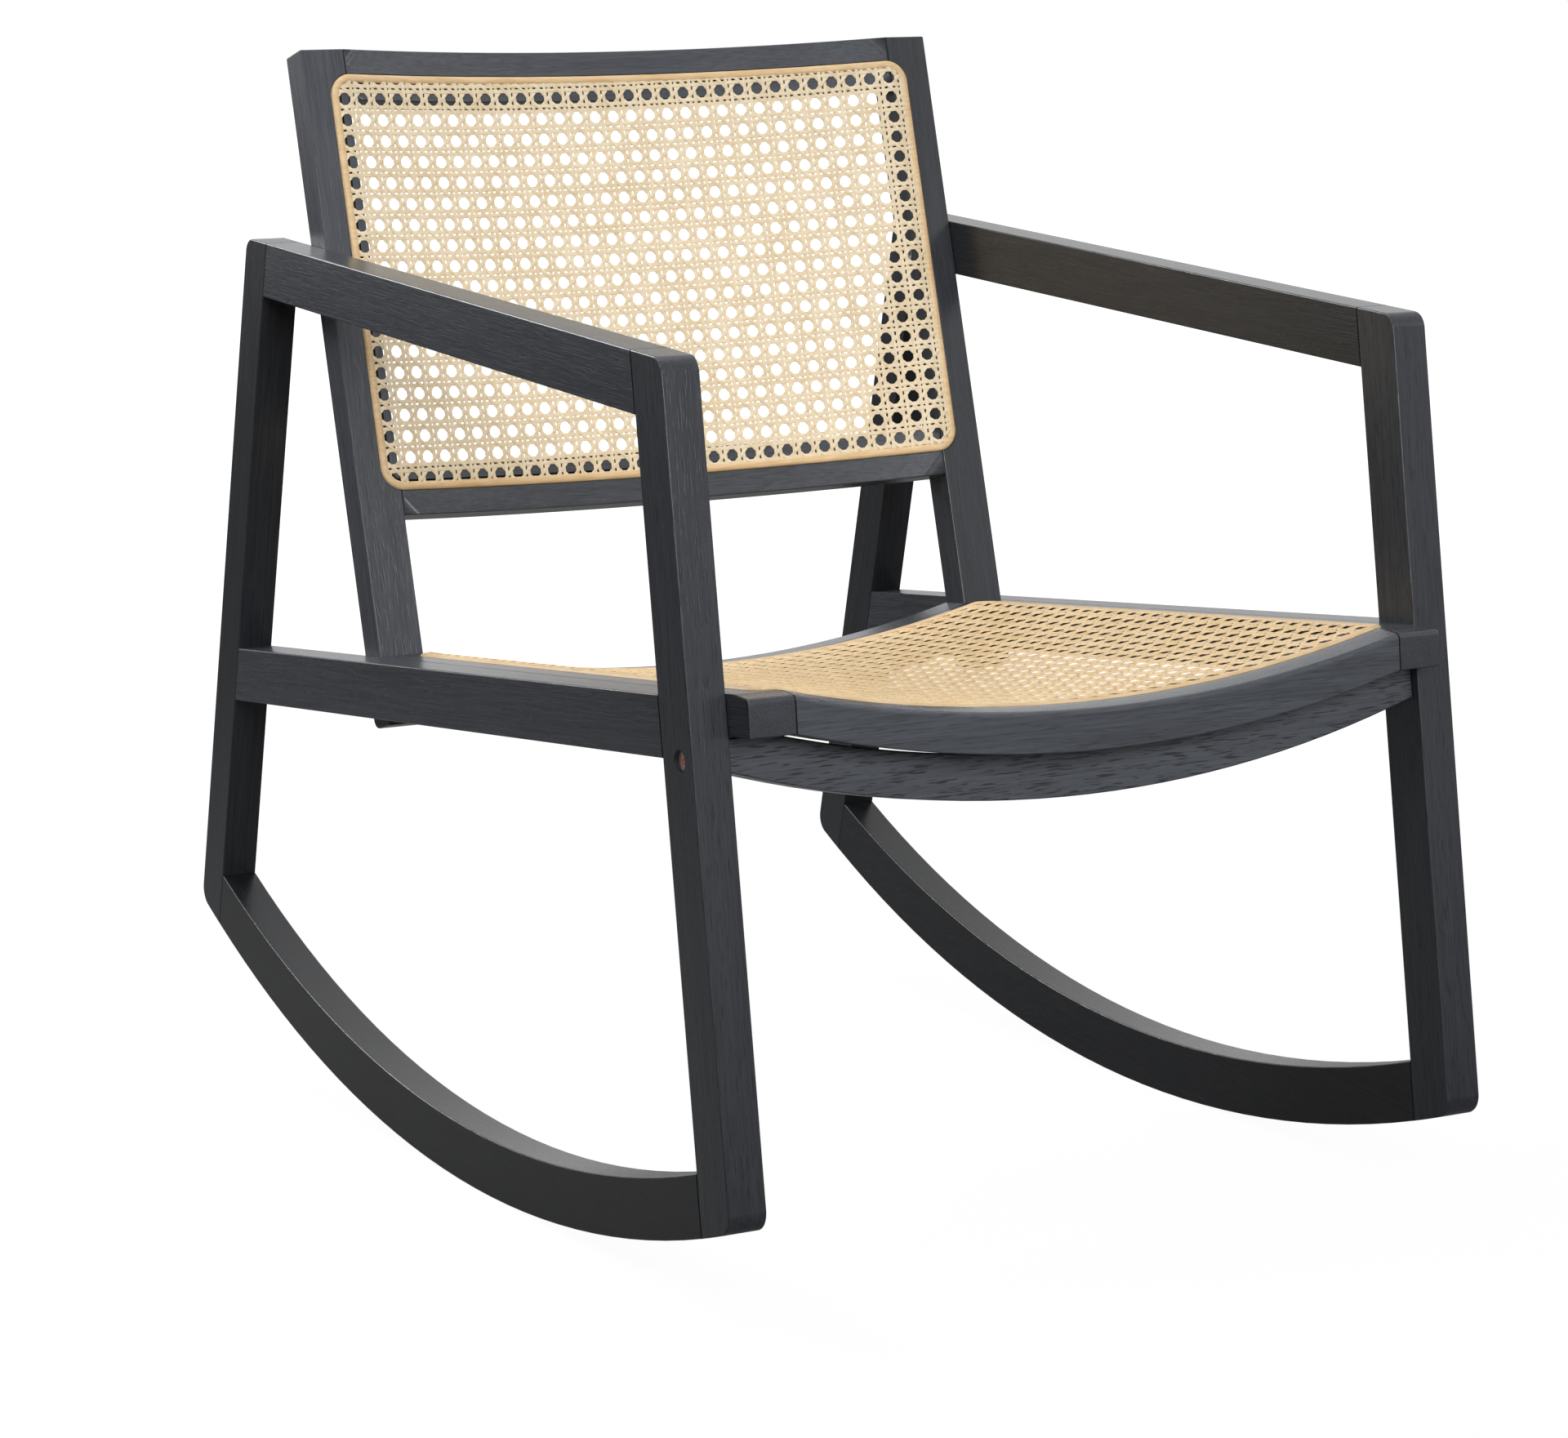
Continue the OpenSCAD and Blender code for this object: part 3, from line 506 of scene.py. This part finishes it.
def darken_seams(obj, near):
    """Settles a member's rounding and darkens the narrow facets that its seams are made of: stain gathers in
    them, and the darkening is also painted shade of the crack, so each joint shows as a thin dark line."""
    sizes = bpy.context.scene.chair_sizes
    settled = bpy.data.meshes.new_from_object(obj.evaluated_get(bpy.context.evaluated_depsgraph_get()))
    obj.modifiers.clear()
    obj.data = settled
    settled.materials.append(bpy.data.materials.get("stain_and_shade_in_seams") or seam_stain_and_shade())
    for face in settled.polygons:
        longest = max((settled.vertices[a].co - settled.vertices[b].co).length for a, b in face.edge_keys)
        if face.area < SEAM_WIDTH * sizes.seam * longest:
            if any(t.find_nearest(face.center, SEAM_REACH * sizes.seam)[0] is not None for t in near):
                face.material_index = 1


def grain_of(node):
    """The turn that lays a member's length along a pattern's Z axis."""
    if node in ACROSS:
        return (0, math.radians(-90), 0)
    for stem, lean in GRAIN.items():
        if node.startswith(stem):
            return (math.radians(lean), 0, 0)
    raise ValueError(f"no grain direction is given for {node}")


def ease_members(nodes):
    """Eases a group of members and stains each along its own grain."""
    fixings = ("bolt", "sleeve", "dowel")
    every = {n: tree_of(n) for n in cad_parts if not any(word in n for word in fixings)}
    for i, node in enumerate(nodes):
        # the first value scales the stain's lightness: partly the board's tone, partly painted shade and
        # sheen
        board = next((b for stem, b in STAIN_WITH_PAINTED_SHADE.items() if node.startswith(stem)), STAIN_WITH_NO_PAINTED_SHADE)
        start = [i * far for far in NEXT_BOARD]
        mat = stained_wood("stained_ash_" + node, grain_of(node), start, *board)
        eased_member(node, mat, every)


# Cane weave


def cut(bm, point, away, clear=False, dist=1e-5):
    """Cuts everything along a plane, and clears what lies beyond it if asked to."""
    bmesh.ops.bisect_plane(
        bm,
        geom=bm.verts[:] + bm.edges[:] + bm.faces[:],
        dist=dist,
        plane_co=point,
        plane_no=away,
        clear_outer=clear,
    )


def strands(bm, middles, repeat, lines, step, steps, width):
    """Flat strands along X, one at each middle, repeated over the lines: bars with eased upper edges, cut
    into steps."""
    thick = bpy.context.scene.chair_sizes.thick / MM
    span = step * steps
    for middle in middles:
        bar = bmesh.ops.create_cube(bm, size=1)["verts"]
        bmesh.ops.transform(bm, verts=bar, matrix=Matrix.Diagonal((span, width, thick, 1)))
        bmesh.ops.translate(bm, verts=bar, vec=(0, middle - repeat * (lines // 2), 0))
    upper = [e for e in bm.edges if e.calc_length() > span / 2 and e.verts[0].co.z > 0]
    bmesh.ops.bevel(
        bm,
        geom=upper,
        offset=STRAND_EASE * thick,
        affect="EDGES",
        segments=1,
        profile=0.5,
        material=-1,
        clamp_overlap=True,
    )
    for i in range(1, steps):
        cut(bm, (step * (i - steps / 2), 0, 0), (1, 0, 0))
    bmesh.ops.spin(
        bm,
        geom=bm.verts[:] + bm.edges[:] + bm.faces[:],
        cent=(0, 0, 0),
        axis=(0, 0, 1),
        dvec=(0, repeat, 0),
        angle=0,
        steps=lines - 1,
        use_duplicate=True,
    )


def trim_to_panel(bm, panel, inset):
    """Cuts the strands to the panel's outline, with its corners, just under the reed."""
    x0, y0, x1, y1 = panel.outline
    x0, y0, x1, y1 = x0 + inset, y0 + inset, x1 - inset, y1 - inset
    cut(bm, (x0, 0, 0), (-1, 0, 0), clear=True)
    cut(bm, (x1, 0, 0), (1, 0, 0), clear=True)
    cut(bm, (0, y0, 0), (0, -1, 0), clear=True)
    cut(bm, (0, y1, 0), (0, 1, 0), clear=True)
    r = panel.corner - inset
    for x, sx in ((x0, -1), (x1, 1)):
        for y, sy in ((y0, -1), (y1, 1)):
            mid = Vector((x - sx * r, y - sy * r, 0)) + Vector((sx, sy, 0)).normalized() * r
            cut(bm, mid, (sx, sy, 0), clear=True)
    bmesh.ops.holes_fill(bm, edges=[e for e in bm.edges if e.is_boundary], sides=0)


def spread_strands(bm, panel, kind, middle):
    """Lays one family of flat strands over a whole panel, before they are trimmed and waved: in pairs
    between the holes, or singly past the holes' corners."""
    sizes = bpy.context.scene.chair_sizes
    pitch, squash = panel.pitch[0], panel.pitch[1] / panel.pitch[0]
    x0, y0, x1, y1 = panel.outline
    reach = math.hypot(x1 - x0, y1 - y0) / 2 + 2 * pitch
    if kind in ("uprights", "crossings"):
        half = sizes.pair / MM / 2
        step = pitch / 4
        lines = 2 * math.ceil(reach / pitch)
        steps = 4 * lines
        strands(bm, (pitch / 2 - half, pitch / 2 + half), pitch, lines, step, steps, sizes.strand / MM)
        shift = step / 2
        turn = math.pi / 2 if kind == "uprights" else 0
    else:
        spacing = pitch / math.sqrt(2)
        step = spacing / 3
        lines = 2 * math.ceil(reach / spacing)
        steps = 3 * lines
        strands(bm, (spacing / 2,), spacing, lines, step, steps, sizes.slant / MM)
        shift = spacing / 2
        turn = math.pi / 4 if kind == "rising" else -math.pi / 4
    place = (
        Matrix.Translation((*middle, 0))
        @ Matrix.Shear("YZ", 4, (panel.climb, 0))
        @ Matrix.Diagonal((1, squash, 1, 1))
        @ Matrix.Rotation(turn, 4, "Z")
        @ Matrix.Translation((shift, 0, 0))
    )
    bmesh.ops.transform(bm, verts=bm.verts[:], matrix=place)


def rise_of(kind, across, along):
    """How far a strand lies over or under the weave's middle, in waves, at a place counted in holes."""
    if kind == "uprights":
        swing = max(-1, min(1, 1.2 * math.cos(math.pi * (along - 0.5))))
        return swing * (1 if (across % 1) < 0.5 else -1)
    if kind == "crossings":
        sign = 1 if math.floor(along) % 2 == 0 else -1
        return 1.3 * sign * math.sin(2 * math.pi * (across - 0.5))
    swing = max(-1, min(1, 1.5 * math.cos(2 * math.pi * along)))
    return 2 * swing * (1 if kind == "rising" else -1)


def weave(panel, kind):
    """One family of a panel's strands, over and under the other three."""
    sizes = bpy.context.scene.chair_sizes
    middle = [panel.hole[i] + panel.pitch[i] * (panel.holes[i] // 2) for i in (0, 1)]
    bm = bmesh.new()
    spread_strands(bm, panel, kind, middle)
    trim_to_panel(bm, panel, sizes.reed / MM - TUCK)
    wave = sizes.wave / MM
    ground = CLEARANCE + 3 * wave
    for v in bm.verts:
        across = (v.co.x - panel.hole[0]) / panel.pitch[0]
        along = (v.co.y - panel.hole[1] - panel.climb * (v.co.x - middle[0])) / panel.pitch[1]
        rise = wave * rise_of(kind, across, along)
        v.co = panel.place(v.co.x, v.co.y, ground + rise + v.co.z)
    c = bpy.context.scene.chair_colours
    turns = {
        "uprights": (BACK_LEAN, 0, 0) if panel is BACK else (math.pi / 2 + SEAT_TILT, 0, 0),
        "crossings": (0, -math.pi / 2, 0),
    }
    fine = FIBRES if kind in turns else MOTTLE
    # the back's paler shades are painted light on the same cane as the seat's
    shades = (c.back_cane, c.back_cane_deep_with_painted_light) if panel is BACK else (c.cane, c.cane_deep)
    mat = fibrous(f"woven_cane_{panel.name}_{kind}", *shades, turns.get(kind, (0, 0, 0)), 0.5, fine)
    node = panel.name + "_cane"
    keep(f"{node}_{kind}", bm, mat, "cane", node)


def border_reed(panel):
    """The reed that closes a panel's edge: a flat ring bent round the corners, with rounded shoulders,
    following the hollow."""
    sizes = bpy.context.scene.chair_sizes
    c = bpy.context.scene.chair_colours
    x0, y0, x1, y1 = panel.outline
    bm = bmesh.new()
    bmesh.ops.create_grid(bm, x_segments=1, y_segments=1, size=0.5)
    grown = Matrix.Diagonal((x1 - x0, y1 - y0, 1, 1))
    moved = Matrix.Translation(((x0 + x1) / 2, (y0 + y1) / 2, 0))
    bmesh.ops.transform(bm, verts=bm.verts[:], matrix=moved @ grown)
    bmesh.ops.bevel(
        bm,
        geom=bm.verts[:],
        offset=panel.corner,
        affect="VERTICES",
        segments=CORNER_STEPS,
        profile=0.5,
        material=-1,
        clamp_overlap=True,
    )
    inner = bm.faces[:]
    wide = sizes.reed / MM
    bmesh.ops.inset_region(bm, faces=inner, thickness=wide, use_even_offset=True, use_boundary=True)
    bmesh.ops.delete(bm, geom=inner, context="FACES")
    ring = bmesh.ops.extrude_face_region(bm, geom=bm.faces[:])
    lifted = [g for g in ring["geom"] if isinstance(g, bmesh.types.BMVert)]
    top = sizes.reed_rise / MM + REED_FOOT
    bmesh.ops.translate(bm, verts=lifted, vec=(0, 0, top))
    bmesh.ops.recalc_face_normals(bm, faces=bm.faces[:])
    # the ring's two upper edges, between its top and its upright sides
    rims = [
        e
        for e in bm.edges
        if all(v.co.z > top - 0.01 for v in e.verts) and any(abs(f.normal.z) < 0.5 for f in e.link_faces)
    ]
    bmesh.ops.bevel(
        bm,
        geom=rims,
        offset=sizes.reed_side / MM,
        offset_type="OFFSET",
        affect="EDGES",
        segments=sizes.shoulder_steps,
        profile=0.5,
        material=-1,
        clamp_overlap=True,
    )
    for i in range(1, HOLLOW_STEPS):
        cut(bm, (x0 + (x1 - x0) * i / HOLLOW_STEPS, 0, 0), (1, 0, 0), dist=1e-4)
    for v in bm.verts:
        v.co = panel.place(v.co.x, v.co.y, v.co.z - REED_FOOT)
    bmesh.ops.recalc_face_normals(bm, faces=bm.faces[:])
    for face in bm.faces:
        face.smooth = True
    mat = fibrous(f"border_reed_{panel.name}", c.reed, c.reed_deep, (0, -math.pi / 2, 0), 0.42)
    node = panel.name + "_reed"
    keep(node + "_band", bm, mat, "reed", node)


def fill_panel(panel):
    """Weaves a panel's four families of strands and lays its reed."""
    for kind in KINDS:
        weave(panel, kind)
    border_reed(panel)


# Studio


def lay_floor():
    """A plain painted floor that stays white to the eye, and shows a little of that white in reflections,
    under a soft shadow.
    """
    scene = bpy.context.scene
    c = scene.chair_colours
    bm = bmesh.new()
    bmesh.ops.create_grid(bm, x_segments=1, y_segments=1, size=20)
    mesh = bpy.data.meshes.new("floor")
    bm.to_mesh(mesh)
    bm.free()
    floor = bpy.data.objects.new("floor", mesh)
    scene.collection.objects.link(floor)
    mat, tree = new_material("painted_floor")
    seen = add(tree, "ShaderNodeLightPath")
    plain = add(tree, "ShaderNodeBsdfDiffuse", {"Color": rgba(c.floor)})
    glow = add(tree, "ShaderNodeEmission", {"Color": rgba(c.white), "Strength": FLOOR_GLOW})
    rays = {0: (seen, "Is Camera Ray"), 1: (seen, "Is Transmission Ray")}
    direct = add(tree, "ShaderNodeMath", links=rays, operation="MAXIMUM")
    # near the chair the floor shows its shadows, and further out it is plain white
    coord = add(tree, "ShaderNodeTexCoord")
    far = add(tree, "ShaderNodeVectorMath", links={0: (coord, "Object")}, operation="LENGTH")
    near, away = FLOOR_FADE
    fade = {"From Min": near, "From Max": away, "To Min": FLOOR_WHITE, "To Max": 1.0}
    white = add(tree, "ShaderNodeMapRange", fade, {"Value": (far, "Value")})
    straight = add(tree, "ShaderNodeMath", links={0: (direct, 0), 1: (white, 0)}, operation="MULTIPLY")
    glossy = {0: (seen, "Is Glossy Ray")}
    mirrored = add(tree, "ShaderNodeMath", {1: FLOOR_MIRRORED}, glossy, operation="MULTIPLY")
    share = add(tree, "ShaderNodeMath", links={0: (straight, 0), 1: (mirrored, 0)}, operation="MAXIMUM")
    both = add(tree, "ShaderNodeMixShader", links={0: (share, 0), 1: (plain, 0), 2: (glow, 0)})
    add(tree, "ShaderNodeOutputMaterial", links={"Surface": (both, 0)})
    dress(floor, mat)


def surround():
    """A white room to the eye and in reflections, that adds little light of its own."""
    scene = bpy.context.scene
    world = bpy.data.worlds.new("studio_surroundings")
    scene.world = world
    world.use_nodes = True
    tree = world.node_tree
    tree.nodes.clear()
    seen = add(tree, "ShaderNodeLightPath")
    rays = {0: (seen, "Is Camera Ray"), 1: (seen, "Is Glossy Ray")}
    either = add(tree, "ShaderNodeMath", links=rays, operation="MAXIMUM")
    more_rays = {0: (either, 0), 1: (seen, "Is Transmission Ray")}
    any_ray = add(tree, "ShaderNodeMath", links=more_rays, operation="MAXIMUM")
    level = add(tree, "ShaderNodeMapRange", {"To Min": ROOM_LIGHT, "To Max": 1.0}, {"Value": (any_ray, 0)})
    white = rgba(scene.chair_colours.white)
    glow = add(tree, "ShaderNodeBackground", {"Color": white}, {"Strength": (level, 0)})
    add(tree, "ShaderNodeOutputWorld", links={"Surface": (glow, 0)})


def hang_lamps():
    """Round area lamps, each turned to what it is aimed at."""
    for name, at, aim, across, watts, spread in LAMPS:
        lamp = bpy.data.lights.new(name, "AREA")
        lamp.shape = "DISK"
        lamp.size = across
        lamp.energy = watts
        lamp.spread = math.radians(spread)
        obj = bpy.data.objects.new(name, lamp)
        bpy.context.scene.collection.objects.link(obj)
        obj.location = at
        obj.rotation_mode = "QUATERNION"
        obj.rotation_quaternion = (Vector(aim) - Vector(at)).to_track_quat("-Z", "Y")
        obj.visible_camera = False


def set_camera():
    """The camera that the photograph was measured with."""
    scene = bpy.context.scene
    turn, tip, roll = (math.radians(angle) for angle in CAMERA_TURNS)
    ahead = Vector((-math.sin(turn) * math.cos(tip), math.cos(turn) * math.cos(tip), math.sin(tip)))
    level_right = Vector((math.cos(turn), math.sin(turn), 0))
    level_up = level_right.cross(ahead)
    right = level_right * math.cos(roll) + level_up * math.sin(roll)
    up = -level_right * math.sin(roll) + level_up * math.cos(roll)
    lens = bpy.data.cameras.new("camera")
    camera = bpy.data.objects.new("camera", lens)
    scene.collection.objects.link(camera)
    basis = Matrix((right, up, -ahead)).transposed().to_4x4()
    camera.matrix_world = Matrix.Translation(Vector(CAMERA_AT) * MM) @ basis
    lens.sensor_width = SENSOR
    lens.sensor_fit = "HORIZONTAL"
    lens.lens = FOCAL_PIXELS / PICTURE_WIDTH * SENSOR
    lens.shift_x = CENTRE_PIXELS[0] / PICTURE_WIDTH
    lens.shift_y = CENTRE_PIXELS[1] / PICTURE_WIDTH
    lens.clip_start, lens.clip_end = 0.05, 60
    scene.camera = camera
    scene.view_settings.view_transform = "Standard"


# Operators


class CHAIR_OT_side_frames(bpy.types.Operator):
    """Eases and stains the legs, arms, side rails, rockers and front stretcher"""

    bl_idname = "chair.side_frames"
    bl_label = "Side frames"

    def execute(self, context):
        stems = ("front_leg", "rear_leg", "arm", "side_rail", "rocker")
        members = [f"{stem}_{side}" for stem in stems for side in ("left", "right")]
        ease_members(members + ["front_stretcher"])
        return {"FINISHED"}


class CHAIR_OT_back_frame(bpy.types.Operator):
    """Eases and stains the back's posts and rails"""

    bl_idname = "chair.back_frame"
    bl_label = "Back frame"

    def execute(self, context):
        rails = ["back_top_rail", "back_bottom_rail", "back_cross_rail"]
        ease_members(["back_post_left", "back_post_right"] + rails)
        return {"FINISHED"}


class CHAIR_OT_seat_frame(bpy.types.Operator):
    """Eases and stains the seat's stiles and rails"""

    bl_idname = "chair.seat_frame"
    bl_label = "Seat frame"

    def execute(self, context):
        ease_members(["seat_stile_left", "seat_stile_right", "seat_front_rail", "seat_rear_rail"])
        return {"FINISHED"}


class CHAIR_OT_back_weave(bpy.types.Operator):
    """Weaves the back's cane and lays its border reed"""

    bl_idname = "chair.back_weave"
    bl_label = "Back weave"

    def execute(self, context):
        fill_panel(BACK)
        return {"FINISHED"}


class CHAIR_OT_seat_weave(bpy.types.Operator):
    """Weaves the seat's cane and lays its border reed"""

    bl_idname = "chair.seat_weave"
    bl_label = "Seat weave"

    def execute(self, context):
        fill_panel(SEAT)
        return {"FINISHED"}


class CHAIR_OT_fixings(bpy.types.Operator):
    """Finishes the bolts, nuts, sleeves and dowels"""

    bl_idname = "chair.fixings"
    bl_label = "Fixings"

    def execute(self, context):
        c = context.scene.chair_colours
        copper = plated("coppered_steel", c.copper, 0.32)
        zinc = plated("zinc_plated_steel", c.zinc, 0.38)
        raw = fibrous("raw_beech", c.beech, c.beech_deep, (0, 0, 0), 0.7)
        for name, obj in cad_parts.items():
            if name == "stretcher_bolts":
                dress(obj, copper)
            elif "bolts" in name or "sleeves" in name or "nuts" in name:
                dress(obj, zinc)
            elif "dowels" in name:
                dress(obj, raw)
        return {"FINISHED"}


class CHAIR_OT_studio(bpy.types.Operator):
    """Lays the floor and sets the lights, the surroundings and the camera"""

    bl_idname = "chair.studio"
    bl_label = "Studio"

    def execute(self, context):
        lay_floor()
        surround()
        hang_lamps()
        set_camera()
        return {"FINISHED"}


class CHAIR_PT_maker(bpy.types.Panel):
    """Lists the chair's pieces, sizes and colours"""

    bl_label = "Rocking chair"
    bl_idname = "CHAIR_PT_maker"
    bl_space_type = "VIEW_3D"
    bl_region_type = "UI"
    bl_category = "Chair"

    def draw(self, context):
        column = self.layout.column()
        for step in STEPS:
            column.operator(step.bl_idname)
        for group in (context.scene.chair_sizes, context.scene.chair_colours):
            box = self.layout.box()
            for name in group.bl_rna.properties.keys():
                if name not in ("rna_type", "name"):
                    box.prop(group, name)


STEPS = (
    CHAIR_OT_side_frames,
    CHAIR_OT_back_frame,
    CHAIR_OT_seat_frame,
    CHAIR_OT_back_weave,
    CHAIR_OT_seat_weave,
    CHAIR_OT_fixings,
    CHAIR_OT_studio,
)
CLASSES = (ChairSizes, ChairColours, *STEPS, CHAIR_PT_maker)


def register():
    """Adds the classes and the scene's two groups of values."""
    for cls in CLASSES:
        bpy.utils.register_class(cls)
    bpy.types.Scene.chair_sizes = PointerProperty(type=ChairSizes)
    bpy.types.Scene.chair_colours = PointerProperty(type=ChairColours)


def unregister():
    """Takes away what register added."""
    del bpy.types.Scene.chair_colours
    del bpy.types.Scene.chair_sizes
    for cls in reversed(CLASSES):
        bpy.utils.unregister_class(cls)


def main():
    """Makes the whole chair."""
    register()
    bpy.ops.chair.side_frames()
    bpy.ops.chair.back_frame()
    bpy.ops.chair.seat_frame()
    bpy.ops.chair.back_weave()
    bpy.ops.chair.seat_weave()
    bpy.ops.chair.fixings()
    bpy.ops.chair.studio()


if __name__ == "__main__":
    main()
